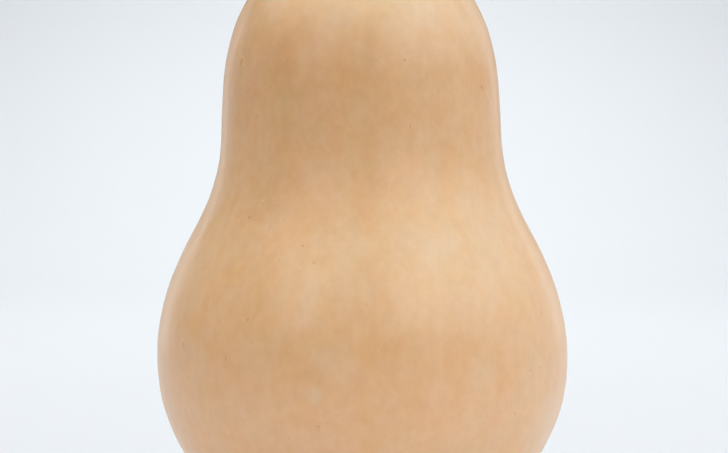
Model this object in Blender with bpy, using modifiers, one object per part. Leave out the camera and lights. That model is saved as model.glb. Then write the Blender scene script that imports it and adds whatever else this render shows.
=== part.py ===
"""A whole butternut squash, standing on its blossom end, with its short cut stem.

Two solids: the fruit, with its rind and flesh grown as one piece, and the woody
stem, which snaps off at its foot. Metres, +Z up. The origin is on the surface that
the squash stands on, under the middle of the bulb.
"""

import math

import bpy
from mathutils import Vector

# Driving dimensions
BULB_WIDTH = 0.120  # across the bulb at its widest
FRUIT_HEIGHT = 0.174  # from the standing surface to the shoulder round the stem
STEM_LENGTH = 0.0212  # from its foot to the cut
STEM_WIDTH = 0.0146  # across the shank
TOUCH_GAP = 0.0003  # left between the stem's foot and its seat on the fruit

# The fruit's outline, from the stem's seat down to the blossom scar: (share of half
# the bulb's width, share of the fruit's height, whether the outline has a corner there)
FRUIT_OUTLINE = (
    (0.000, 0.9865, True),  # middle of the flat seat that the stem grows from
    (0.240, 0.9865, True),  # edge of the seat
    (0.325, 0.9985, False),  # crest of the shoulder round the stem
    (0.566, 0.9094, False),
    (0.655, 0.8164, False),  # where the dome meets the neck
    (0.676, 0.7344, False),
    (0.692, 0.6440, False),  # foot of the neck
    (0.752, 0.5747, False),
    (0.877, 0.4895, False),  # steepest part of the bulb's shoulder
    (0.965, 0.4081, False),
    (1.000, 0.3115, False),  # the bulb's widest ring
    (0.941, 0.2039, False),
    (0.743, 0.1000, False),
    (0.474, 0.0281, False),
    (0.275, 0.0000, True),  # outer edge of the flat ring that it stands on
    (0.140, 0.0000, True),  # inner edge of that ring
    (0.000, 0.0100, False),  # blossom scar, clear of the surface
)
FRUIT_SEGMENTS = 70
FRUIT_STEPS = 3  # rows of faces between two outline points

FRUIT_LOBES = 10  # faint ribs that run from the stem to the blossom end
SHOULDER_RIB = 0.016  # depth of the ribs round the stem, as a share of the radius
BULB_RIB = 0.0028
BASE_RIB = 0.008
DEPTH_SHARE = 0.985  # the fruit is a little narrower from front to back
NECK_LEAN = Vector((-0.0006, 0.0016))  # how far the neck's top leans from upright

# The stem's outline, from the cut down to its foot: shares of half the shank's width
# and of the stem's length
STEM_OUTLINE = (
    (0.00, 1.000, True),  # middle of the cut
    (0.90, 0.985, True),  # rim of the cut
    (1.02, 0.900, False),
    (0.94, 0.620, False),  # slimmest part of the shank
    (1.06, 0.330, False),
    (1.42, 0.130, False),  # the foot flares out
    (1.74, 0.035, False),
    (1.72, 0.000, True),  # edge of the foot
    (0.00, 0.000, True),
)
STEM_SEGMENTS = 50
STEM_STEPS = 2
STEM_LOBES = 5
SHANK_RIB = 0.085  # depth of the stem's five angles, as a share of the radius
FOOT_RIB = 0.060
CUT_SLOPE = math.radians(7)  # the knife went through a little aslant


def start_empty():
    """Removes every object that the scene holds."""
    for obj in list(bpy.data.objects):
        bpy.data.objects.remove(obj)


def collection_named(name):
    """A new collection in the scene."""
    made = bpy.data.collections.new(name)
    bpy.context.scene.collection.children.link(made)
    return made


def surface(name, colour, roughness):
    """A plain material: linear colour and roughness, not metallic."""
    made = bpy.data.materials.new(name)
    made.use_nodes = True
    shader = made.node_tree.nodes["Principled BSDF"]
    shader.inputs["Base Color"].default_value = (*colour, 1.0)
    shader.inputs["Roughness"].default_value = roughness
    shader.inputs["Metallic"].default_value = 0.0
    return made


def outline_curve(name, outline, radius, height, steps):
    """A Bezier outline at +X, from the top of the axis round to the bottom."""
    data = bpy.data.curves.new(name, "CURVE")
    data.dimensions = "3D"
    data.resolution_u = steps
    spline = data.splines.new("BEZIER")
    spline.bezier_points.add(len(outline) - 1)
    for point, (across, up, corner) in zip(spline.bezier_points, outline):
        point.co = (across * radius, 0.0, up * height)
        handle = "VECTOR" if corner else "AUTO"
        point.handle_left_type = handle
        point.handle_right_type = handle
    return bpy.data.objects.new(name, data)


def turned(name, outline, radius, height, steps, segments, home):
    """A closed mesh object: the outline turned about the Z axis."""
    profile = outline_curve(name + "_outline", outline, radius, height, steps)
    home.objects.link(profile)
    screw = profile.modifiers.new("turn", "SCREW")
    screw.axis = "Z"
    screw.steps = segments
    screw.render_steps = segments
    screw.use_merge_vertices = True
    screw.merge_threshold = 0.00001
    graph = bpy.context.evaluated_depsgraph_get()
    mesh = bpy.data.meshes.new_from_object(profile.evaluated_get(graph))
    mesh.name = name
    bpy.data.objects.remove(profile)
    obj = bpy.data.objects.new(name, mesh)
    home.objects.link(obj)
    return obj


def ramp(value, low, high):
    """0 at low, 1 at high, and an even S between them."""
    share = min(max((value - low) / (high - low), 0.0), 1.0)
    return share * share * (3.0 - 2.0 * share)


def rib_depth(up):
    """Depth of the fruit's ribs at a share of its height."""
    near_stem = SHOULDER_RIB * ramp(up, 0.80, 0.97)
    on_bulb = BULB_RIB * ramp(up, 0.62, 0.40)
    near_base = BASE_RIB * ramp(up, 0.16, 0.03)
    return near_stem + on_bulb + near_base


def grow_fruit(mesh):
    """Gives the turned fruit its ribs, its oval section and the lean of its neck."""
    for vertex in mesh.vertices:
        x, y, z = vertex.co
        up = z / FRUIT_HEIGHT
        bearing = math.atan2(y, x)
        swell = 1.0 + rib_depth(up) * (math.cos(FRUIT_LOBES * bearing) - 1.0)
        lean = NECK_LEAN * ramp(up, 0.30, 1.0)
        vertex.co = (x * swell + lean.x, y * swell * DEPTH_SHARE + lean.y, z)


def grow_stem(mesh):
    """Gives the turned stem its five angles and its slanting cut, and sets it in place."""
    seat = FRUIT_OUTLINE[0][1] * FRUIT_HEIGHT + TOUCH_GAP
    for vertex in mesh.vertices:
        x, y, z = vertex.co
        up = z / STEM_LENGTH
        bearing = math.atan2(y, x)
        depth = FOOT_RIB + (SHANK_RIB - FOOT_RIB) * ramp(up, 0.10, 0.40)
        swell = 1.0 + depth * math.cos(STEM_LOBES * bearing)
        slope = x * math.tan(CUT_SLOPE) * ramp(up, 0.5, 0.98)
        vertex.co = (x * swell + NECK_LEAN.x, y * swell + NECK_LEAN.y, seat + z + slope)


def finish(obj, material):
    """Shades a grown piece smooth, apart from its real corners, and dresses it."""
    obj.data.shade_smooth()
    obj.data.set_sharp_from_angle(angle=math.radians(40))
    obj.data.materials.append(material)


def make_fruit(home):
    """The fruit: neck, bulb, stem seat and the flat ring that it stands on."""
    fruit = turned(
        "fruit",
        FRUIT_OUTLINE,
        BULB_WIDTH / 2,
        FRUIT_HEIGHT,
        FRUIT_STEPS,
        FRUIT_SEGMENTS,
        home,
    )
    grow_fruit(fruit.data)
    finish(fruit, surface("rind", (0.62, 0.38, 0.19), 0.45))


def make_stem(home):
    """The stem: a five-angled woody shank on a flared foot, cut across the top."""
    stem = turned(
        "stem",
        STEM_OUTLINE,
        STEM_WIDTH / 2,
        STEM_LENGTH,
        STEM_STEPS,
        STEM_SEGMENTS,
        home,
    )
    grow_stem(stem.data)
    finish(stem, surface("woody_stem", (0.33, 0.24, 0.13), 0.8))


def main():
    start_empty()
    squash = collection_named("butternut_squash")
    make_fruit(squash)
    make_stem(squash)


main()
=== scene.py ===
"""Looks of a whole butternut squash: waxy buff rind, corky cut stem and blossom scar.

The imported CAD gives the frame. The rind and the stem are finer skins grown on its two
solids: every main size is read from them, and what is added is relief and colour.
Lengths are in metres and bearings in radians, turning from +X towards +Y.
"""

import logging
import math
from collections.abc import Iterable, Sequence
from dataclasses import dataclass, field
from enum import Enum

import bpy
import numpy as np
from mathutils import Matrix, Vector, noise
from mathutils.bvhtree import BVHTree


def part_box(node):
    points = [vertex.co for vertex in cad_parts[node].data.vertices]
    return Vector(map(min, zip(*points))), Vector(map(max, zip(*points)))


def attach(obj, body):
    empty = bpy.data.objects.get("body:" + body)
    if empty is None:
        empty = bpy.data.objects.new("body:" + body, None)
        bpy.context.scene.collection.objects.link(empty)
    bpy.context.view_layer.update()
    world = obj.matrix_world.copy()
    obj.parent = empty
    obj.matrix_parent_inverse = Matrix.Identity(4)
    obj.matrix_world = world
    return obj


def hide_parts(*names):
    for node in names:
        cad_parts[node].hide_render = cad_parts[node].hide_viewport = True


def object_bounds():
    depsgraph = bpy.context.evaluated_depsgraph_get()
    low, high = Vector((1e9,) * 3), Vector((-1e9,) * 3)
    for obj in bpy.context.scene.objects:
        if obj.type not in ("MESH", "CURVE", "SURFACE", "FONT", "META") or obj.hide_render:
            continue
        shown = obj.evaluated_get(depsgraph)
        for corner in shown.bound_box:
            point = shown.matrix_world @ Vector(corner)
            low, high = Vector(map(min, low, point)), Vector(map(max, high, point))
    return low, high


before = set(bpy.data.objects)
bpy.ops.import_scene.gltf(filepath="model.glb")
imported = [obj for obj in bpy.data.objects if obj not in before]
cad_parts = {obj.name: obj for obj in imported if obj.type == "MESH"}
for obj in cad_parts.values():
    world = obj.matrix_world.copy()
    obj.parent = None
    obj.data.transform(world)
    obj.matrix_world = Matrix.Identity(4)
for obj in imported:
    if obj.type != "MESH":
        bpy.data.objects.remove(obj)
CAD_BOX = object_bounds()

MM = 0.001
BODY = "root"
FRONT = -math.pi / 2  # bearing of the side that the camera looks at
FLOOR = (0.0, 0.0, 0.0)  # where the squash stands
UP = Vector((0.0, 0.0, 1.0))

log = logging.getLogger("butternut_squash")

Pair = tuple[float, float]
Point = tuple[float, float, float]
Colour = tuple[float, float, float]
Socket = bpy.types.NodeSocket
Object = bpy.types.Object
Grid = np.ndarray  # values by row and column, or one for each row


class Slot(Enum):
    """Material slot names for the rind and the stem, which nothing here uses."""

    RIND = "rind"
    STEM = "woody_stem"


class Tint(Enum):
    """Colours of the rind's marks, in the order that they are laid on."""

    # Darker tan: its broad marks are painted shade on the neck, its smallest ones are darker spots of
    # the rind.
    DEEP_AND_PAINTED_SHADE = "deep_and_painted_shade"
    ROSE = "rose"
    ORANGE = "orange"
    GREEN = "green"
    # Paler buff: its broad marks are painted highlight, most of them on the top of the neck and on the
    # right shoulder; its small ones are paler skin.
    PALE_AND_PAINTED_HIGHLIGHT = "pale_and_painted_highlight"


def smooth_step(value: float, low: float, high: float) -> float:
    """An even S from 0 at low to 1 at high, which may be less than low."""
    share = min(max((value - low) / (high - low), 0.0), 1.0)
    return share * share * (3.0 - 2.0 * share)


def bell(value: float, width: float) -> float:
    """A bell curve that is 1 at 0 and fades over the width."""
    return math.exp(-((value / width) ** 2))


def drift(point: Vector, wavelength: float, seed: float) -> float:
    """Smooth noise from about -1 to 1 with the given wavelength."""
    return noise.noise(point / wavelength + Vector((seed, -1.7 * seed, 0.6 * seed)))


def once_round(count: int) -> list[float]:
    """Evenly spaced bearings, once round."""
    return [math.tau * step / count for step in range(count)]


def facing(bearing: float) -> Vector:
    """Level unit vector along a bearing."""
    return Vector((math.cos(bearing), math.sin(bearing), 0.0))


# --- Meshes: reading the CAD solids and growing skins


def surface(mesh: bpy.types.Mesh) -> BVHTree:
    """A mesh's faces, made ready for casting rays at them."""
    points = [vertex.co for vertex in mesh.vertices]
    return BVHTree.FromPolygons(points, [tuple(face.vertices) for face in mesh.polygons])


def add_object(name: str, data: bpy.types.ID) -> Object:
    """Makes an object of some data and links it into the scene."""
    made = bpy.data.objects.new(name, data)
    bpy.context.scene.collection.objects.link(made)
    return made


def add_mesh(name: str, vertices: Iterable, faces: Iterable) -> Object:
    """Makes a smooth-shaded mesh object.

    Args:
        name: Name of the mesh and of the object.
        vertices: Its points.
        faces: Its faces, as indices of the points.

    Returns:
        The object, linked into the scene.
    """
    mesh = bpy.data.meshes.new(name)
    mesh.from_pydata(vertices, [], faces)
    mesh.shade_smooth()
    return add_object(name, mesh)


def ring_faces(rings: int, columns: int) -> list[tuple[int, ...]]:
    """Lays out the faces of a sheet of closed rings that starts at a pole.

    Args:
        rings: How many rings there are.
        columns: Points in each ring.

    Returns:
        The faces, where vertex 0 is the pole and the rings follow one by one.
    """
    pairs = [(column, (column + 1) % columns) for column in range(columns)]
    faces: list[tuple[int, ...]] = [(0, 1 + here, 1 + there) for here, there in pairs]
    for upper in range(1, 1 + (rings - 1) * columns, columns):
        lower = upper + columns
        for here, there in pairs:
            faces.append((upper + here, lower + here, lower + there, upper + there))
    return faces


def add_attribute(mesh: bpy.types.Mesh, name: str, values: Grid) -> None:
    """Stores one float or one vector for each vertex of a mesh.

    Args:
        mesh: The mesh.
        name: Name of the attribute.
        values: One row for each vertex, of one number or three.
    """
    vector = values.ndim == 2
    kind = "FLOAT_VECTOR" if vector else "FLOAT"
    made = mesh.attributes.new(name, kind, "POINT")
    made.data.foreach_set("vector" if vector else "value", values.astype(np.float32).ravel())


class CadSurface:
    """The surface of one CAD node, for rays cast from inside it."""

    def __init__(self, node: str) -> None:
        """Reads the mesh and the box of the named node."""
        self.tree = surface(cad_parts[node].data)
        self.low, self.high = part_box(node)

    def reach(self, origin: Vector, direction: Vector) -> float:
        """Distance from a point inside to the surface along a direction."""
        _, _, _, distance = self.tree.ray_cast(origin, direction)
        return distance

    def middle(self, height: float, rays: int = 24) -> Vector:
        """Finds the centre of a level section.

        Args:
            height: Height of the section.
            rays: How many rays measure it, from the vertical axis.

        Returns:
            The centre.
        """
        origin = UP * height
        total = Vector((0.0, 0.0, 0.0))
        for bearing in once_round(rays):
            total += facing(bearing) * self.reach(origin, facing(bearing))
        return origin + total / rays


def spread(values: Grid) -> Grid:
    """Turns values on a skin's grid into values on its mesh's vertices.

    Args:
        values: The values, by row and column.

    Returns:
        One row for each vertex: a pole with the mean of the first grid row, the grid
        row by row, and a pole with the mean of the last grid row.
    """
    top, bottom = values[0].mean(axis=0), values[-1].mean(axis=0)
    flat = values.reshape(-1, *values.shape[2:])
    return np.concatenate([top[None], flat, bottom[None]])


def add_skin(name: str, points: Grid, **notes: Grid) -> Object:
    """Makes a grid of points, closed by a pole at each end, into a mesh object.

    Args:
        name: Name of the object.
        points: The grid of points.
        **notes: Values on the grid, which the mesh carries as attributes.

    Returns:
        The object, linked into the scene.
    """
    rows, columns, _ = points.shape
    faces = ring_faces(rows, columns)
    last = 1 + rows * columns
    foot = last - columns
    faces += [(last, foot + (column + 1) % columns, foot + column) for column in range(columns)]
    made = add_mesh(name, spread(points).tolist(), faces)
    for note, values in notes.items():
        add_attribute(made.data, note, spread(values))
    return made


def blurred(values: Grid, sigma: float, axis: int, closed: bool) -> Grid:
    """Gaussian blur along one axis of a grid.

    Args:
        values: The grid.
        sigma: Standard deviation, in grid steps.
        axis: Axis to blur along.
        closed: Whether the axis runs round and meets itself.

    Returns:
        The blurred grid.
    """
    reach = max(1, math.ceil(3 * sigma))
    offsets = range(-reach, reach + 1)
    weights = np.array([bell(offset, sigma * math.sqrt(2)) for offset in offsets])
    weights /= weights.sum()
    margin = [(0, 0)] * values.ndim
    margin[axis] = (reach, reach)
    padded = np.pad(values, margin, mode="wrap" if closed else "reflect")
    length = values.shape[axis]
    total = np.zeros_like(values)
    for weight, start in zip(weights, range(2 * reach + 1)):
        total += weight * np.take(padded, range(start, start + length), axis=axis)
    return total


# --- Shader building


class Painter:
    """Adds nodes to one material and wires them into its Principled shader.

    What feeds a socket is another node's output, a number or a colour.
    """

    def __init__(self, name: str) -> None:
        """Starts a new material of the given name."""
        self.material = bpy.data.materials.new(name)
        self.material.use_nodes = True
        self.tree = self.material.node_tree
        self.shader = self.tree.nodes["Principled BSDF"]

    def feed(self, node: bpy.types.Node, inputs: dict) -> None:
        """Feeds some of a node's sockets.

        Args:
            node: The node.
            inputs: What feeds the sockets, by their names or indices.
        """
        for key, value in inputs.items():
            socket = node.inputs[key]
            if isinstance(value, Socket):
                self.tree.links.new(value, socket)
            elif socket.type == "RGBA":
                socket.default_value = (*value, 1.0)
            else:
                socket.default_value = value

    def add(self, kind: str, inputs: dict, output: str | int, **settings: object) -> Socket:
        """Adds a node.

        Args:
            kind: Its type.
            inputs: What feeds its sockets.
            output: Which of its outputs is wanted.
            **settings: Its properties.

        Returns:
            The wanted output.
        """
        node = self.tree.nodes.new(kind)
        for key, value in settings.items():
            setattr(node, key, value)
        self.feed(node, inputs)
        return node.outputs[output]

    def dress(self, **inputs: object) -> None:
        """Feeds the Principled shader's sockets, by name with _ for a space."""
        self.feed(self.shader, {key.replace("_", " "): value for key, value in inputs.items()})

    def place(self) -> Socket:
        """Position on the object, in metres."""
        return self.add("ShaderNodeTexCoord", {}, "Object")

    def attribute(self, name: str, vector: bool = False) -> Socket:
        """Reads a mesh attribute as a vector or as one number."""
        output = "Vector" if vector else "Fac"
        return self.add("ShaderNodeAttribute", {}, output, attribute_name=name)

    def mapped(self, place: Socket, kind: str = "POINT", **inputs: Sequence[float]) -> Socket:
        """Scales, turns and shifts a position, to make a new pattern."""
        inputs = {"Vector": place, **inputs}
        return self.add("ShaderNodeMapping", inputs, "Vector", vector_type=kind)

    def noise(
        self, place: Socket, size: float, octaves: float = 2.0, roughness: float = 0.5
    ) -> Socket:
        """Noise from 0 to 1 in patches of the given size, roughened by finer octaves."""
        inputs = {"Vector": place, "Scale": 1.0 / size, "Detail": octaves, "Roughness": roughness}
        return self.add("ShaderNodeTexNoise", inputs, "Fac")

    def between(
        self, value: Socket, low: float, high: float, least: float = 0.0, most: float = 1.0
    ) -> Socket:
        """Maps low to least and high to most, along an even S."""
        limits = {"From Min": low, "From Max": high, "To Min": least, "To Max": most}
        inputs = {"Value": value, **limits}
        return self.add("ShaderNodeMapRange", inputs, "Result", interpolation_type="SMOOTHSTEP")

    def sum(self, first: object, second: object, operation: str = "ADD") -> Socket:
        """Adds two values, or combines them by another Math operation."""
        return self.add("ShaderNodeMath", {0: first, 1: second}, "Value", operation=operation)

    def product(self, first: object, second: object) -> Socket:
        """Multiplies two values."""
        return self.sum(first, second, "MULTIPLY")

    def blend(self, share: object, first: object, second: object, how: str = "MIX") -> Socket:
        """Colour that goes from the first to the second, or multiplies them, by a share."""
        inputs = {"Factor": share, 6: first, 7: second}  # the node's two colour sockets
        return self.add("ShaderNodeMix", inputs, 2, data_type="RGBA", blend_type=how)

    def relief(self, height: Socket, depth: float) -> Socket:
        """Normals of fine relief, where a height of 1 stands for the depth in metres."""
        return self.add("ShaderNodeBump", {"Height": height, "Distance": depth}, "Normal")


# --- Rind


@dataclass(frozen=True)
class RindFinish:
    """Waxy buff rind: soft mottling of rose, orange and pale buff under a thin wax, with painted shade
    on the neck and painted highlight on the neck top and shoulder.
    """

    buff: Colour = (0.812, 0.484, 0.225)
    rose: Colour = (0.848, 0.480, 0.236)
    orange: Colour = (0.810, 0.430, 0.165)
    # Colour of the deep marks: darker skin, and painted shade on the neck.
    deep_and_painted_shade: Colour = (0.700, 0.362, 0.140)
    # Colour of the pale marks and of the scuffs; the broad pale marks are painted highlight.
    pale_and_painted_highlight: Colour = (0.800, 0.600, 0.380)
    green: Colour = (0.620, 0.460, 0.200)
    cork: Colour = (0.260, 0.155, 0.080)
    scar: Colour = (0.470, 0.335, 0.190)
    patch: float = 8 * MM
    glow: float = 13 * MM
    band: float = 6 * MM
    mottle: float = 3.2 * MM
    scuff: float = 1.3 * MM
    pore: float = 0.9 * MM

    def material(self) -> bpy.types.Material:
        """Builds the material.

        Returns:
            The material, which reads the rind's growth, reach, scar and mark attributes.
        """
        paint = Painter("rind_waxy_buff")
        place = paint.place()
        growth = paint.attribute("growth", vector=True)
        tall, taller = (1.0, 1.0, 0.85), (1.0, 1.0, 0.80)
        patches = paint.noise(paint.mapped(place, Scale=tall), self.patch)
        shifted = paint.mapped(place, Scale=tall, Location=(0.2, 0.2, 0.2))
        glows = paint.noise(shifted, self.glow, 3.0)
        bands = paint.noise(growth, self.band)
        shifted = paint.mapped(place, Scale=taller, Location=(0.31, 0.31, 0.31))
        mottles = paint.noise(shifted, self.mottle, 4.0, 0.6)

        colour: object = self.buff
        ragged = paint.between(mottles, 0.2, 0.8, 1.08, 0.92)
        # Marks of each tint are laid over the buff; the broad deep marks are painted shade on the neck
        # and the broad pale marks are painted highlight.
        for tint in Tint:
            share = paint.product(paint.attribute(tint.value), ragged)
            colour = paint.blend(share, colour, getattr(self, tint.value))

        for pattern, low, high, dark, light in (
            (patches, 0.35, 0.65, (1.006, 0.978, 0.930), (0.997, 1.015, 1.058)),
            (glows, 0.72, 0.50, (0.985, 0.945, 0.840), (1.000, 1.000, 1.000)),
            (bands, 0.35, 0.65, (1.004, 0.984, 0.972), (0.997, 1.014, 1.025)),
            (mottles, 0.28, 0.72, (0.972, 0.950, 0.923), (1.023, 1.043, 1.073)),
        ):
            shade = paint.blend(paint.between(pattern, low, high), dark, light)
            colour = paint.blend(1.0, colour, shade, "MULTIPLY")

        leaning = paint.mapped(place, "TEXTURE", Rotation=(0.0, -0.9, 0.0), Scale=(1.0, 1.0, 6.0))
        scuffs = paint.noise(leaning, self.scuff, 3.0, 0.6)
        scuffed = paint.between(glows, 0.55, 0.40, 0.0, 0.18)
        scuffed = paint.product(scuffed, paint.between(scuffs, 0.52, 0.75))
        colour = paint.blend(scuffed, colour, self.pale_and_painted_highlight)

        reach = paint.attribute("reach")
        stem_end = paint.between(reach, 0.13, 0.05, 0.0, 1.2)
        colour = paint.blend(paint.product(stem_end, mottles), colour, self.green)
        scar = paint.attribute("scar")
        rough_scar = paint.sum(scar, paint.product(paint.sum(mottles, -0.5), 0.8))
        on_scar = paint.between(rough_scar, 0.35, 0.60)
        colour = paint.blend(on_scar, colour, self.cork)
        colour = paint.blend(paint.between(rough_scar, 0.62, 0.85), colour, self.scar)
        colour = paint.blend(paint.between(rough_scar, 1.15, 1.30), colour, self.cork)

        scattered = {"Vector": place, "Scale": 1.0 / self.pore}
        pores = paint.add("ShaderNodeTexVoronoi", scattered, "Distance")
        skin = paint.sum(paint.product(mottles, 1.2), paint.product(pores, 0.25))
        height = paint.sum(skin, paint.product(on_scar, paint.product(pores, 3.0)))

        shine = paint.sum(paint.product(mottles, 0.20), 0.37)
        paint.dress(
            Base_Color=colour,
            Normal=paint.relief(height, 0.05 * MM),
            Roughness=paint.sum(shine, paint.product(on_scar, 0.35)),
            IOR=1.8,
            Coat_Weight=0.5,
            Coat_Roughness=0.16,
            Coat_IOR=1.3,
            Subsurface_Weight=0.05,
            Subsurface_Scale=2.0 * MM,
        )
        return paint.material


@dataclass(frozen=True)
class Mark:
    """One mark on the rind, at a listed place."""

    bearing: float  # degrees from the front, towards +X
    height: float
    wide: float  # half its width
    tall: float  # half its height
    tint: Tint
    strength: float  # from 0 to 1


@dataclass(frozen=True)
class Relief:
    """What the rind has over the plain CAD shape: depths and wavelengths."""

    lump: float = 0.40 * MM  # height of the broad lumps
    lump_width: float = 42 * MM  # their wavelength
    dimple: float = 0.03 * MM  # depth of the small unevenness
    dimple_width: float = 5.5 * MM  # its wavelength
    flute: float = 0.05 * MM  # height of the growth ridges
    flute_width: float = 5.0 * MM  # their wavelength on the bulb
    wrinkle: float = 0.30 * MM  # height of the creases that gather at the stem
    pucker: float = 0.35 * MM  # height of the creases round the blossom scar
    scar_radius: float = 4.2 * MM
    scar_height: float = 0.55 * MM  # how far the scar stands out
    stem_calm: Pair = (12 * MM, 40 * MM)  # where lumps and flutes set in, from the stem
    scar_calm: Pair = (18 * MM, 40 * MM)  # the same from the scar
    wrinkle_zone: Pair = (16 * MM, 7 * MM)  # where wrinkles are deepest, and their reach
    pucker_zone: Pair = (6.5 * MM, 3.5 * MM)  # the same of the puckers
    wrinkle_width: float = 0.16  # wavelength of the wrinkles round the stem, in radians
    pucker_width: float = 0.11  # the same of the puckers
    scar_rise: Pair = (1.15, 0.80)  # where the scar starts to rise and is up, in its radii

    def lift(self, point: Vector, growth: Vector, from_stem: float, from_scar: float) -> float:
        """How far the rind stands out from the plain shape at one place.

        Args:
            point: The place on the plain shape.
            growth: The same place laid out along the growth lines.
            from_stem: Distance along the skin from the middle of the stem.
            from_scar: Distance along the skin from the middle of the blossom scar.

        Returns:
            The distance outwards, in metres.
        """
        open_skin = smooth_step(from_stem, *self.stem_calm)
        open_skin *= smooth_step(from_scar, *self.scar_calm)
        lumps = self.lump * drift(point, self.lump_width, 3.1) * open_skin
        dimples = self.dimple * drift(point, self.dimple_width, 7.7)
        flutes = self.flute * drift(growth, self.flute_width, 1.3) * open_skin
        turn = growth.to_2d().to_3d().normalized()
        gather = self.wrinkle * drift(turn, self.wrinkle_width, 5.2)
        gather *= bell(from_stem - self.wrinkle_zone[0], self.wrinkle_zone[1])
        creases = self.pucker * drift(turn, self.pucker_width, 9.4)
        creases *= bell(from_scar - self.pucker_zone[0], self.pucker_zone[1])
        scar = self.scar_height * smooth_step(from_scar / self.scar_radius, *self.scar_rise)
        return lumps + dimples + flutes + gather + creases + scar


@dataclass
class Rind:
    """The fruit's skin, from under the stem round to the blossom scar."""

    node: str = "fruit"  # CAD node that it replaces
    columns: int = 320  # points round the fruit
    rows: int = 300  # points from the stem to the scar
    dome_core: float = 0.80  # top of the line that the skin is measured from, as a share of the height
    bulb_core: float = 0.32  # bottom of that line
    fan: float = 0.3  # share of the rays, from stem to scar, that fan out from each end of it
    end_spacing: float = 0.45  # spacing of rows at the poles, as a share of the usual
    end_zone: float = 14 * MM  # length over which they come together
    soften: float = 2.2 * MM  # how far the CAD's facets are smoothed along the skin
    soften_round: float = 3.0  # and round it, in columns
    streak: float = 9.0  # how many times longer than wide the growth streaks are
    relief: Relief = field(default_factory=Relief)  # what is added to the plain shape
    finish: RindFinish = field(default_factory=RindFinish)
    marks: tuple[Mark, ...] = ()

    def build(self) -> Object:
        """Grows the skin over the CAD fruit and dresses it.

        Returns:
            The rind's mesh object, riding on the body in the CAD fruit's place.
        """
        self.cad = CadSurface(self.node)
        self.low_core = self.cad.middle(self.bulb_core * self.cad.high.z)
        self.high_core = self.cad.middle(self.dome_core * self.cad.high.z)
        shares, lengths = self.row_places()
        growth = self.growth_places(lengths)
        points = self.grown(shares, lengths, growth)
        rind = add_skin("rind", points, growth=growth, **self.notes(points, lengths))
        rind.data.materials.append(self.finish.material())
        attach(rind, BODY)
        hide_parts(self.node)
        return rind

    def ray(self, share: float, bearing: float) -> tuple[Vector, Vector]:
        """The ray that meets the skin at a share of the way from stem to scar.

        Args:
            share: 0 at the stem and 1 at the scar.
            bearing: Direction round the fruit.

        Returns:
            The ray's origin and its unit direction.
        """
        from_end = min(share, 1.0 - share)
        if from_end < self.fan:
            top = share < self.fan
            origin = self.high_core if top else self.low_core
            rise = math.pi / 2 * (1.0 - from_end / self.fan) * (1 if top else -1)
        else:
            down = (share - self.fan) / (1.0 - 2.0 * self.fan)
            origin, rise = self.high_core.lerp(self.low_core, down), 0.0
        return origin, facing(bearing) * math.cos(rise) + UP * math.sin(rise)

    def row_places(self, probes: int = 900) -> tuple[Grid, Grid]:
        """Where the rows go, from one meridian of the CAD fruit.

        Args:
            probes: Rays used to measure the meridian.

        Returns:
            The rows' shares for ray(), and their distances along the skin from the top.
        """
        probe_shares = np.linspace(0.0, 1.0, probes)
        met = []
        for origin, direction in (self.ray(share, FRONT) for share in probe_shares):
            met.append(origin + direction * self.cad.reach(origin, direction))
        steps = [0.0] + [(after - before).length for before, after in zip(met, met[1:])]
        along = np.cumsum(steps)
        self.skin_length = float(along[-1])
        ends = np.exp(-((along / self.end_zone) ** 2))
        ends += np.exp(-(((self.skin_length - along) / self.end_zone) ** 2))
        density = 1.0 / (1.0 - (1.0 - self.end_spacing) * ends)
        crowd = np.concatenate([[0.0], np.cumsum(np.diff(along) * density[1:])])
        wanted = np.linspace(0.0, crowd[-1], self.rows + 2)[1:-1]
        shares = np.interp(wanted, crowd, probe_shares)
        return shares, np.interp(wanted, crowd, along)

    def growth_places(self, lengths: Grid) -> Grid:
        """The grid laid out along the growth lines, which run from stem to scar.

        Args:
            lengths: Each row's distance along the skin from the top.

        Returns:
            Points on an upright tube of the bulb's girth, which is so much shorter than
            the skin that even noise read there makes long streaks.
        """
        tube = [facing(bearing) * self.cad.high.x for bearing in once_round(self.columns)]
        growth = np.tile(np.array(tube), (len(lengths), 1, 1))
        growth[..., 2] = lengths[:, None] / self.streak
        return growth

    def grown(self, shares: Grid, lengths: Grid, growth: Grid) -> Grid:
        """Measures the CAD fruit along every ray, smooths its facets and adds relief.

        Args:
            shares: The rows' shares for ray().
            lengths: Each row's distance along the skin from the top.
            growth: The grid laid out along the growth lines.

        Returns:
            The finished grid of points.
        """
        bearings = once_round(self.columns)
        rays = [[self.ray(share, bearing) for bearing in bearings] for share in shares]
        distances = np.array([[self.cad.reach(*ray) for ray in row] for row in rays])
        spacing = self.skin_length / self.rows
        distances = blurred(distances, self.soften_round, axis=1, closed=True)
        distances = blurred(distances, self.soften / spacing, axis=0, closed=False)
        origins, directions = np.moveaxis(np.array(rays), 2, 0)
        plain = origins + directions * distances[..., None]
        for row, length in enumerate(lengths):
            for column in range(self.columns):
                distances[row, column] += self.relief.lift(
                    Vector(plain[row, column]),
                    Vector(growth[row, column]),
                    length,
                    self.skin_length - length,
                )
        points = origins + directions * distances[..., None]
        points[..., 2] = np.maximum(points[..., 2], 0.0)
        return points

    def notes(self, points: Grid, lengths: Grid) -> dict[str, Grid]:
        """The attributes that the finish reads, apart from the growth lines.

        Args:
            points: The finished grid of points.
            lengths: Each row's distance along the skin from the top.

        Returns:
            Share of the way from the stem, depth inside the scar and strength of each
            tint, at every point.
        """
        along = np.repeat(lengths[:, None], self.columns, axis=1)
        from_scar = self.skin_length - along
        scar = np.clip(1.5 - from_scar / self.relief.scar_radius, 0.0, 1.5)
        tints = {tint.value: self.marked(points, tint) for tint in Tint}
        return {"reach": along / self.skin_length, "scar": scar, **tints}

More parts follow.
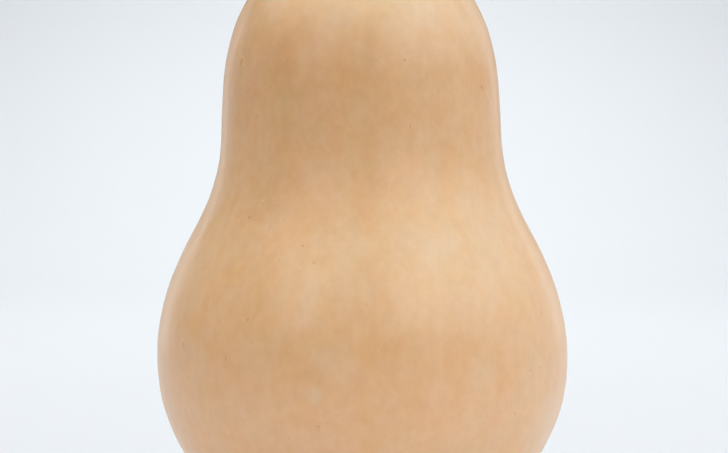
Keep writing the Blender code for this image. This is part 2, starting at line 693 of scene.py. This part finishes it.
    def marked(self, points: Grid, tint: Tint) -> Grid:
        """Adds up the marks of one tint.

        Args:
            points: The finished grid of points.
            tint: The tint.

        Returns:
            Its strength at every point, from 0 to 1.
        """
        total = np.zeros(points.shape[:2])
        bearings = np.arctan2(points[..., 1], points[..., 0])
        radii = np.hypot(points[..., 0], points[..., 1])
        for mark in (mark for mark in self.marks if mark.tint is tint):
            turn = bearings - (FRONT + math.radians(mark.bearing))
            across = (turn + math.pi) % math.tau - math.pi
            sideways = across * radii / mark.wide
            upright = (points[..., 2] - mark.height) / mark.tall
            total += mark.strength * np.exp(-(sideways**2) - upright**2)
        return np.clip(total, 0.0, 1.0)


# --- Specks


@dataclass(frozen=True)
class SpeckFinish:
    """Dry cork of the small specks on the rind, fading out towards their rims."""

    core: Colour
    rim: Colour

    def material(self, name: str) -> bpy.types.Material:
        """Builds the material.

        Args:
            name: Name of the material.

        Returns:
            The material, which reads the specks' tone attribute.
        """
        paint = Painter(name)
        grain = paint.noise(paint.place(), 0.15 * MM)
        paint.dress(
            Base_Color=paint.blend(paint.attribute("tone"), self.rim, self.core),
            Normal=paint.relief(grain, 0.03 * MM),
            Roughness=paint.between(grain, 0.3, 0.7, 0.45, 0.60),
            IOR=1.7,
        )
        return paint.material


@dataclass(frozen=True)
class Speck:
    """One corky speck."""

    bearing: float  # degrees from the front, towards +X
    height: float
    wide: float
    tall: float  # its length along the growth lines
    tone: float  # strength of its colour, from 0 to 1


@dataclass
class Specks:
    """Small corky specks scattered over the rind."""

    name: str
    scattered: int
    bearings: Pair  # range that they are scattered over, in degrees
    widths: Pair  # least and greatest width
    slender: Pair  # least and greatest length, as a share of the width
    finish: SpeckFinish
    placed: tuple[Speck, ...] = ()  # more, at given places
    seed: int = 11
    sides: int = 10  # points round each speck
    shoulder: float = 0.62  # width of the shoulder, as a share of the rim's
    ragged: float = 0.18  # unevenness of the outline, as a share of the width
    bulge: float = 0.025  # height, as a share of the width
    sunk: float = 0.02 * MM  # how deep the rim lies in the rind

    def build(self, rind: Object) -> Object:
        """Makes every speck on the rind, as one mesh.

        Args:
            rind: The rind that they grow on.

        Returns:
            The specks' mesh object.
        """
        self.tree = surface(rind.data)
        vertices: list[Vector] = []
        faces: list[tuple[int, ...]] = []
        tones: list[float] = []
        for speck in (*self.placed, *self.scatter(rind)):
            self.raise_speck(speck, vertices, faces)
            for share, count in ((0.1, self.sides), (0.7, self.sides), (1.0, 1), (0.0, 1)):
                tones += [share * speck.tone] * count
        made = add_mesh(self.name, vertices, faces)
        add_attribute(made.data, "tone", np.array(tones))
        made.data.materials.append(self.finish.material(self.name))
        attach(made, BODY)
        return made

    def scatter(self, rind: Object) -> Iterable[Speck]:
        """Draws random specks over the fruit, within the range of bearings.

        Args:
            rind: The rind that they grow on.

        Yields:
            The specks.
        """
        draw = np.random.default_rng(self.seed)
        top = max(vertex.co.z for vertex in rind.data.vertices)
        for _ in range(self.scattered):
            bearing = draw.uniform(*self.bearings)
            height = top * draw.uniform(0.06, 0.94)
            wide = draw.uniform(*self.widths)
            tall = wide * draw.uniform(*self.slender)
            yield Speck(bearing, height, wide, tall, draw.uniform(0.35, 1.0))

    def raise_speck(self, speck: Speck, vertices: list[Vector], faces: list[tuple]) -> None:
        """Adds one speck, a low closed mound on the rind.

        Args:
            speck: Where it is and how large.
            vertices: The mesh's vertices so far.
            faces: The mesh's faces so far.
        """
        outwards = facing(FRONT + math.radians(speck.bearing))
        place, normal, _, _ = self.tree.ray_cast(UP * speck.height + outwards, -outwards)
        side = outwards.cross(UP).normalized()
        up = normal.cross(side).normalized()
        side = up.cross(normal)
        base = len(vertices)
        rings = ((1.0, -self.sunk), (self.shoulder, speck.wide * self.bulge * 0.7))
        for share, rise in rings:
            for turn in once_round(self.sides):
                swell = share * (1.0 + self.ragged * math.sin(3 * turn + 40 * speck.bearing))
                across = side * (math.cos(turn) * speck.wide / 2 * swell)
                along = up * (math.sin(turn) * speck.tall / 2 * swell)
                vertices.append(place + across + along + normal * rise)
        vertices.append(place + normal * speck.wide * self.bulge)
        vertices.append(place - normal * self.sunk * 3)
        crown, root = len(vertices) - 2, len(vertices) - 1
        for step in range(self.sides):
            following = (step + 1) % self.sides
            outer, outer_next = base + step, base + following
            inner, inner_next = outer + self.sides, outer_next + self.sides
            faces.append((outer_next, outer, inner, inner_next))
            faces.append((inner_next, inner, crown))
            faces.append((outer, outer_next, root))


# --- Stem


@dataclass(frozen=True)
class StemFinish:
    """Dry, corky stem: tan ridges, greener grooves, long fibres and a pale cut."""

    ridge: Colour = (0.400, 0.290, 0.165)
    groove: Colour = (0.215, 0.165, 0.085)
    green: Colour = (0.250, 0.235, 0.110)
    dry: Colour = (0.520, 0.420, 0.270)
    cut: Colour = (0.560, 0.450, 0.280)
    pith: Colour = (0.340, 0.240, 0.130)
    rim: Colour = (0.230, 0.150, 0.075)

    def material(self) -> bpy.types.Material:
        """Builds the material.

        Returns:
            The material, which reads the stem's attributes: grain, crest and cut.
        """
        paint = Painter("stem_dry_cork")
        place = paint.place()
        grain = paint.attribute("grain", vector=True)
        fibres = paint.noise(grain, 0.55 * MM, 4.0, 0.65)
        blots = paint.noise(place, 4.5 * MM, 3.0, 0.6)
        crest = paint.attribute("crest")
        worn = paint.sum(crest, paint.product(paint.sum(fibres, -0.5), 0.9))
        side = paint.blend(paint.between(worn, 0.15, 0.75), self.groove, self.ridge)
        side = paint.blend(paint.between(blots, 0.52, 0.72, 0.0, 0.7), side, self.green)
        side = paint.blend(paint.between(fibres, 0.55, 0.85, 0.0, 0.8), side, self.dry)

        across_cut = paint.attribute("across_cut")
        wood = paint.noise(place, 0.5 * MM, 3.0, 0.7)
        ring = paint.sum(across_cut, paint.product(paint.sum(wood, -0.5), 0.22))
        face = paint.blend(paint.between(ring, 0.20, 0.34), self.pith, self.cut)
        face = paint.blend(paint.between(ring, 0.82, 0.97), face, self.rim)
        face = paint.blend(paint.between(wood, 0.5, 0.8, 0.0, 0.5), face, self.dry)
        on_cut = paint.attribute("on_cut")

        shifted = paint.mapped(grain, Location=(0.7, 0.7, 0.7))
        cracks = paint.noise(shifted, 1.6 * MM, 3.0, 0.7)
        depth = paint.sum(fibres, paint.product(paint.between(cracks, 0.42, 0.52), 0.8))
        paint.dress(
            Base_Color=paint.blend(on_cut, side, face),
            Normal=paint.relief(paint.sum(depth, paint.product(wood, 0.5)), 0.18 * MM),
            Roughness=paint.between(fibres, 0.2, 0.8, 0.70, 0.92),
        )
        return paint.material


@dataclass
class Stem:
    """The woody stem: a five-ridged shank on a flared foot, cut across its top."""

    node: str = "stem"  # CAD node that it replaces
    columns: int = 200  # points round it
    shank_rows: int = 110  # rows from the foot to the cut
    cut_rows: int = 26  # rows from the cut's rim to its middle
    ridge: float = 0.65 * MM  # height of the five ridges, over the CAD's
    toe: float = 1.0 * MM  # height of the ridges on the foot, over the CAD's
    fibre: float = 0.16 * MM  # height of the fine fibres
    knob: float = 0.45 * MM  # height of the broader unevenness
    twist: float = math.radians(9)  # turn of the ridges from foot to cut
    inset: float = 0.35 * MM  # how far the cut lies below the CAD's
    pith: float = 0.55 * MM  # depth of the sunken pith
    worn: float = 0.35 * MM  # how far the cut's rim is worn down
    crowding: float = 1.15  # how strongly the rows gather at the foot
    flare: Pair = (0.38, 0.02)  # where up the stem its foot starts to flare and is full
    knob_width: float = 0.62  # wavelength of the unevenness round the stem, in radians
    fibre_widths: Pair = (0.085, 0.04)  # the same of the coarse and the finest fibres
    grain_radius: float = 7 * MM  # girth that the grain is laid out on
    grain_stretch: float = 14.0  # how many times longer than wide its patterns are
    tuck: Pair = (0.6, 1.0 * MM)  # how the last row is drawn in, as a share, and down
    foot: float = 0.12  # share of the way up over which the foot settles onto the rind
    bury: float = 0.45 * MM  # how deep the foot's edge lies in the rind
    finish: StemFinish = field(default_factory=StemFinish)

    def build(self, rind: Object) -> Object:
        """Grows the stem over the CAD stem, down onto the rind.

        Args:
            rind: The rind that its foot lies on.

        Returns:
            The stem's mesh object.
        """
        self.cad = CadSurface(self.node)
        self.rind_tree = surface(rind.data)
        self.length = self.cad.high.z - self.cad.low.z
        self.core = (self.cad.low + self.cad.high) / 2
        self.core.z = 0.0
        middle = self.on_axis(0.5)
        self.cut_level = middle.z + self.cad.reach(middle, UP)
        rim = self.cad.reach(self.on_axis(0.9), facing(0.0))
        self.cut_slope = (self.cad.high.z - self.cut_level) / rim
        points, notes = self.grown()
        made = add_skin("stem_shank", points, **notes)
        made.data.materials.append(self.finish.material())
        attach(made, BODY)
        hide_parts(self.node)
        return made

    def on_axis(self, up: float) -> Vector:
        """The point on the stem's axis at a share of the way from the foot to the cut."""
        return self.core + UP * (self.cad.low.z + self.length * up)

    def shank_radius(self, up: float, bearing: float) -> float:
        """Radius of the side of the stem.

        Args:
            up: Share of the way from the foot to the cut.
            bearing: Direction round the stem.

        Returns:
            The CAD's radius at that height, with ridges, fibres and knobs added.
        """
        radius = self.cad.reach(self.on_axis(min(max(up, 0.02), 0.93)), facing(bearing))
        turned = bearing + self.twist * up
        crest = self.crest_share(turned)
        foot = smooth_step(up, *self.flare)
        radius += (self.ridge * (1.0 - foot) + self.toe * foot) * (crest - 0.55)
        lie = facing(turned) + UP * up * 0.9
        radius += self.knob * drift(lie, self.knob_width, 2.4)
        radius += self.fibre * drift(lie, self.fibre_widths[0], 6.1)
        radius += self.fibre * 0.6 * drift(lie, self.fibre_widths[1], 8.8)
        return radius

    def crest_share(self, turned: float) -> float:
        """1 on the crest of a ridge and 0 in a groove, narrower on the crest."""
        return (0.5 + 0.5 * math.cos(5 * turned)) ** 1.35

    def grown(self) -> tuple[Grid, dict[str, Grid]]:
        """Lays out the stem's grid from the middle of the cut down to under the foot.

        Returns:
            The grid of points, and for every point its place along the grain, its share
            of a ridge's crest, its share of the way across the cut, and whether it is
            on the cut.
        """
        rows = self.cut_rows + self.shank_rows + 1
        points, grain = np.zeros((2, rows, self.columns, 3))
        crest, across_cut, on_cut = np.zeros((3, rows, self.columns))
        for column, bearing in enumerate(once_round(self.columns)):
            rim = self.shank_radius(1.0, bearing)
            for row in range(rows):
                if row < self.cut_rows:
                    share, up = (row + 1) / self.cut_rows, 1.0
                    radius = rim * share * (1.0 - 0.03 * share**6)
                    height = self.cut_height(bearing, radius, share)
                    on_cut[row, column] = smooth_step(share, 1.04, 0.97)
                else:
                    down = (row - self.cut_rows + 1) / self.shank_rows
                    share, up = 1.0, max(1.0 - down, 0.0) ** self.crowding
                    radius = self.shank_radius(up, bearing)
                    edge = self.cut_height(bearing, radius, 1.0)
                    height = self.cad.low.z + (edge - self.cad.low.z) * up
                if row == rows - 1:
                    radius *= self.tuck[0]
                spot = self.core + facing(bearing) * radius + UP * height
                if share == 1.0 and up < self.foot:
                    spot.z = self.settled(spot, up)
                if row == rows - 1:
                    spot.z -= self.tuck[1]
                points[row, column] = spot
                turned = bearing + self.twist * up
                grain[row, column] = facing(turned) * self.grain_radius
                grain[row, column, 2] = height / self.grain_stretch
                crest[row, column] = self.crest_share(turned)
                across_cut[row, column] = share
        notes = {"grain": grain, "crest": crest, "across_cut": across_cut, "on_cut": on_cut}
        return points, notes

    def cut_height(self, bearing: float, radius: float, share: float) -> float:
        """Height of the cut: the CAD's slope, a worn rim and a sunken pith.

        Args:
            bearing: Direction round the stem.
            radius: Distance from its axis.
            share: Share of the way from the middle of the cut to its rim.

        Returns:
            The height above the surface that the squash stands on.
        """
        plane = self.cut_level + self.cut_slope * radius * math.cos(bearing)
        lie = facing(bearing) * share
        rough = 0.14 * MM * drift(lie, 0.16, 4.2) + 0.10 * MM * drift(lie, 0.05, 1.9)
        pith = self.pith * bell(share, 0.24)
        worn = self.worn * smooth_step(share, 0.86, 1.0)
        return plane - self.inset + rough - pith - worn

    def settled(self, spot: Vector, up: float) -> float:
        """Height that lets the foot's edge run down into the rind.

        Args:
            spot: A point near the foot's edge.
            up: Share of the way from the foot to the cut.

        Returns:
            The point's new height.
        """
        met, _, _, _ = self.rind_tree.ray_cast(spot + UP * 10 * MM, -UP)
        if met is None:
            return spot.z
        sunk = met.z - self.bury
        weight = smooth_step(up, self.foot, 0.0)
        return spot.z * (1.0 - weight) + sunk * weight


# --- Studio


class Reach(Enum):
    """What a light's beam is let onto: everything, or one of its two halves."""

    ALL = "all"
    OBJECT = "object"
    BACKDROP = "backdrop"


@dataclass(frozen=True)
class SoftLight:
    """One rectangular soft light."""

    name: str
    place: Point
    power: float  # in watts
    width: float = 0.8
    height: float = 0.8
    aim: Point = (0.0, 0.0, 0.1)
    spread: float = 180.0  # full angle of its beam, in degrees
    reach: Reach = Reach.ALL  # what its beam is let onto

    def build(self) -> Object:
        """Makes the light, unseen by the camera itself.

        Returns:
            The light object.
        """
        data = bpy.data.lights.new(self.name, "AREA")
        data.shape = "RECTANGLE"
        data.size, data.size_y = self.width, self.height
        data.energy = self.power
        data.spread = math.radians(self.spread)
        made = add_object(self.name, data)
        made.location = self.place
        towards = Vector(self.aim) - Vector(self.place)
        made.rotation_euler = towards.to_track_quat("-Z", "Y").to_euler()
        made.visible_camera = False
        return made


@dataclass
class Studio:
    """Pale seamless floor and wall, soft lights, and the camera."""

    floor_radius: float = 1.3  # where the flat floor starts to curve up
    wall_radius: float = 3.2  # where the wall stands upright
    wall_height: float = 2.6
    sweep_steps: int = 24  # rows of the curve between floor and wall
    backdrop: Colour = (0.76, 0.79, 0.82)
    sky: Colour = (0.97, 0.99, 1.0)  # colour of the light from above the wall
    sky_strength: float = 0.03
    camera_distance: float = 0.9  # from the camera to the fruit's axis
    camera_rise: float = math.radians(2.0)  # how far it looks down
    lens: float = 152.4  # focal length, in millimetres
    aim: float = 0.4808  # height that the camera looks at, as a share of the object's
    aim_side: float = 0.44 * MM  # how far to the side of the axis it looks
    lights: tuple[SoftLight, ...] = (
        SoftLight("overhead_light", (0.0, 0.12, 1.50), 14.5),
        SoftLight("left_high_light", (-0.78, 0.0, 1.26), 2.8),
        SoftLight("left_front_light", (-0.68, -0.97, 0.84), 3.3),
        SoftLight("left_side_light", (-1.30, 0.20, 0.35), 0.8, reach=Reach.OBJECT),
        SoftLight("left_low_light", (-0.85, 1.08, 0.22), 0.7, height=0.66, reach=Reach.OBJECT),
        SoftLight("left_strip", (-0.60, 0.84, 0.14), 0.19, 0.17, 0.5, reach=Reach.OBJECT),
        SoftLight("right_front_light", (0.68, -0.97, 0.84), 4.5),
        SoftLight("right_light", (1.12, -0.41, 0.84), 3.0),
        SoftLight("right_side_light", (1.30, 0.00, 0.35), 1.4, reach=Reach.OBJECT),
        SoftLight("right_back_light", (1.12, 0.41, 0.84), 1.2),
        SoftLight("right_low_light", (1.03, 0.93, 0.30), 1.6, width=1.2, reach=Reach.OBJECT),
        SoftLight("right_strip", (0.60, 0.80, 0.30), 0.19, width=0.18, reach=Reach.OBJECT),
        SoftLight("floor_light", (0.0, 0.9, 1.5), 3.3, aim=(0.0, 1.3, 0.0), spread=80.0),
        SoftLight("near_floor_light", (0.0, 0.0, 1.5), 2.2, 1.2, 1.2, FLOOR, reach=Reach.BACKDROP),
        SoftLight("wall_light", (0.0, 1.8, 1.6), 3.3, aim=(0.0, 2.2, 0.2), spread=80.0),
    )

    def build(self) -> None:
        """Makes the whole studio."""
        bpy.context.scene.view_settings.view_transform = "Standard"
        backdrop = self.build_backdrop()
        self.build_sky()
        for light in self.lights:
            made = light.build()
            if light.reach is not Reach.ALL:
                made.light_linking.receiver_collection = self.build_flag(backdrop, light.reach)
        self.build_camera()

    def build_flag(self, backdrop: Object, reach: Reach) -> bpy.types.Collection:
        """Makes the flag that parts the beam of a light between backdrop and object.

        Args:
            backdrop: The floor and wall.
            reach: Whether the beam is let onto the backdrop or the object.

        Returns:
            A collection that says whether the backdrop receives the light.
        """
        flag = bpy.data.collections.new(f"{reach.value}_flag")
        flag.objects.link(backdrop)
        state = "INCLUDE" if reach is Reach.BACKDROP else "EXCLUDE"
        flag.collection_objects[0].light_linking.link_state = state
        return flag

    def build_backdrop(self, segments: int = 96) -> Object:
        """Makes the floor and wall as one turned sheet.

        Args:
            segments: Faces round the sheet.

        Returns:
            The backdrop object.
        """
        sweep = self.wall_radius - self.floor_radius
        rings = [(self.floor_radius / 2, 0.0)]
        for step in range(self.sweep_steps + 1):
            turn = math.pi / 2 * step / self.sweep_steps
            out, rise = sweep * math.sin(turn), sweep * (1 - math.cos(turn))
            rings.append((self.floor_radius + out, rise))
        rings.append((self.wall_radius, self.wall_height))
        vertices = [Vector(FLOOR)]
        for radius, height in rings:
            vertices += [facing(turn) * radius + UP * height for turn in once_round(segments)]
        faces = ring_faces(len(rings), segments)
        made = add_mesh("studio_backdrop", vertices, faces)
        made.data.materials.append(self.backdrop_material())
        return made

    def backdrop_material(self) -> bpy.types.Material:
        """Builds matt pale paper, which is clear when seen from underneath.

        Returns:
            The material.
        """
        paint = Painter("studio_paper")
        paint.dress(Base_Color=self.backdrop, Roughness=0.95, Specular_IOR_Level=0.1)
        under = paint.add("ShaderNodeNewGeometry", {}, "Backfacing")
        clear = paint.add("ShaderNodeBsdfTransparent", {}, "BSDF")
        sides = {"Fac": under, 1: paint.shader.outputs["BSDF"], 2: clear}
        either = paint.add("ShaderNodeMixShader", sides, "Shader")
        paint.feed(paint.tree.nodes["Material Output"], {"Surface": either})
        return paint.material

    def build_sky(self) -> None:
        """Makes the even light that comes in over the wall."""
        world = bpy.data.worlds.new("studio_sky")
        world.use_nodes = True
        background = world.node_tree.nodes["Background"]
        background.inputs["Color"].default_value = (*self.sky, 1.0)
        background.inputs["Strength"].default_value = self.sky_strength
        bpy.context.scene.world = world

    def build_camera(self) -> None:
        """Places the camera in front of the object, a little above its middle."""
        data = bpy.data.cameras.new("studio_camera")
        data.lens = self.lens
        made = add_object("studio_camera", data)
        target = Vector((self.aim_side, 0.0, CAD_BOX[1][2] * self.aim))
        back = Vector((0.0, -math.cos(self.camera_rise), math.sin(self.camera_rise)))
        made.location = target + back * self.camera_distance
        made.rotation_euler = (-back).to_track_quat("-Z", "Y").to_euler()
        bpy.context.scene.camera = made


# --- What grows where on the front of this fruit, and where shade and highlight are painted on it

# Bearing in degrees, height, width and length in millimetres, and tone of each speck.
FRONT_SPECKS = tuple(
    Speck(bearing, height * MM, wide * MM, tall * MM, tone)
    for bearing, height, wide, tall, tone in (
        (-62, 141, 1.9, 2.6, 1), (-41.5, 133.5, 1.45, 1.45, 1), (-48.5, 125, 1.3, 1.15, 0.9),
        (-36, 141, 1.05, 0.95, 1), (18.5, 141, 1.2, 1.15, 1), (61, 133.5, 2, 2, 1),
        (20, 122.5, 0.95, 2.6, 0.75), (-44, 97, 1.2, 1.9, 1), (-40, 101, 1.45, 1.5, 0.3),
        (-19.5, 89.5, 1.25, 0.9, 0.75), (-15, 85, 1.3, 1.15, 0.3), (-33.5, 69, 1.15, 1.15, 0.85),
        (-40, 58, 0.6, 2.6, 1), (-58.5, 61, 2, 2.1, 0.45), (52.5, 54, 0.9, 0.75, 1),
        (57, 54.5, 0.95, 0.7, 0.9), (47.5, 42, 1.05, 1.05, 0.5), (61.5, 69.5, 1.1, 1.7, 0.6),
        (-59.5, 41.5, 0.95, 2.3, 0.4), (-12.5, 39.5, 1.4, 2.2, 0.1), (4, 61, 1.65, 1.05, 0.25),
    )
)

# Bearing in degrees, height, half width and half height in millimetres, and strength.
MARK_PLACES = {
    Tint.ORANGE: (
        (-55, 120, 16, 26, 0.12), (-23, 138, 8, 8, 0.1), (-9, 48, 8, 6, 0.12),
        (-24, 60, 7, 16, 0.12), (14, 45, 11, 9, 0.16), (-53, 58, 9, 9, 0.12), (12, 45, 12, 8, 0.18),
        (-55, 70, 12, 10, 0.12), (-5, 60, 34, 11, 0.05), (-20, 62, 8, 8, 0.35),
        (-24, 49, 34, 15, 0.27), (-31, 75.5, 1.6, 4, 0.6), (-46.5, 74, 1.8, 2, 0.25),
        (-20.5, 61, 2.4, 2.2, 0.5), (-13, 54, 3.6, 3, 0.85), (6, 60, 7.5, 5, 0.3),
        (22, 60, 9, 7, 0.36),
    ),
    # Deep marks: the band round the neck and the broad patches are painted shade there; the two
    # smallest are darker spots of the rind.
    Tint.DEEP_AND_PAINTED_SHADE: (
        (-17, 110, 11, 8, 0.22), (18, 107, 9, 6, 0.17), (0, 133, 600, 27, 0.62),
        (-28, 141, 20, 14, 0.25), (-25, 104, 18, 9, 0.2), (22, 147, 14, 12, 0.2),
        (-40, 98, 10, 15, 0.26), (-37, 143, 2, 5, 0.35), (-51, 132, 3, 3, 0.3),
    ),
    # Pale marks: the broad ones are painted highlight, most of them on the top of the neck and on the
    # right shoulder; the small spots and narrow streaks are paler skin.
    Tint.PALE_AND_PAINTED_HIGHLIGHT: (
        (-7, 60, 6, 9, 0.28), (4, 88, 10, 10, 0.12), (34, 55, 5, 6, 0.18), (36, 32, 8, 7, 0.14),
        (50, 93, 22, 16, 0.14), (-54, 51, 8, 10, 0.12), (40, 128, 8, 10, 0.12),
        (12, 158, 26, 10, 0.5), (62, 156, 20, 12, 0.26), (-58, 157, 11, 8, 0.26),
        (-60, 90, 14, 12, 0.14), (64, 40, 22, 20, 0.34), (50, 95, 20, 14, 0.2),
        (30, 82, 40, 14, 0.14), (24.5, 119, 2.2, 3.2, 0.3), (-16, 72, 2.4, 5, 0.12),
        (26.8, 85, 4, 3, 0.15), (-14.5, 77, 2, 8, 0.2), (-6.5, 82, 2.4, 7, 0.2),
        (26.5, 91, 8, 9, 0.2), (-13, 48.5, 2.4, 2.4, 0.26),
    ),
    Tint.GREEN: (
        (28, 88, 18, 12, 0.12), (30, 148, 18, 20, 0.1), (-33, 129, 2.6, 5, 0.2),
        (-31, 75.5, 1.6, 4, 0.15),
    ),
    Tint.ROSE: (
        (0, 44, 600, 24, 0.8),
    ),
}
MARKS = tuple(
    Mark(bearing, height * MM, wide * MM, tall * MM, tint, strength)
    for tint, places in MARK_PLACES.items()
    for bearing, height, wide, tall, strength in places
)

CORK = SpeckFinish(core=(0.645, 0.315, 0.122), rim=(0.820, 0.470, 0.218))
LENTICEL = SpeckFinish(core=(0.710, 0.378, 0.158), rim=(0.815, 0.472, 0.220))
FLECK = SpeckFinish(core=(0.830, 0.515, 0.262), rim=(0.815, 0.474, 0.222))

BACK, ALL_ROUND = (75.0, 285.0), (-180.0, 180.0)
SPECK_KINDS = (
    Specks("rind_specks", 45, BACK, (0.45 * MM, 1.10 * MM), (0.8, 2.6), CORK, FRONT_SPECKS),
    Specks("rind_lenticels", 450, ALL_ROUND, (0.22 * MM, 0.50 * MM), (1.0, 4.0), LENTICEL, seed=29),
    Specks("rind_flecks", 90, ALL_ROUND, (0.20 * MM, 0.55 * MM), (0.9, 2.2), FLECK, seed=47),
)


def report(piece: Object) -> None:
    """Logs a finished piece and its face count."""
    log.info("%s: %d faces", piece.name, len(piece.data.polygons))


def main() -> None:
    """Builds every piece and the studio in order."""
    logging.basicConfig(level=logging.INFO, format="%(name)s %(message)s")
    rind = Rind(marks=MARKS).build()
    report(rind)
    for kind in SPECK_KINDS:
        report(kind.build(rind))
    report(Stem().build(rind))
    Studio().build()


if __name__ == "__main__":
    main()
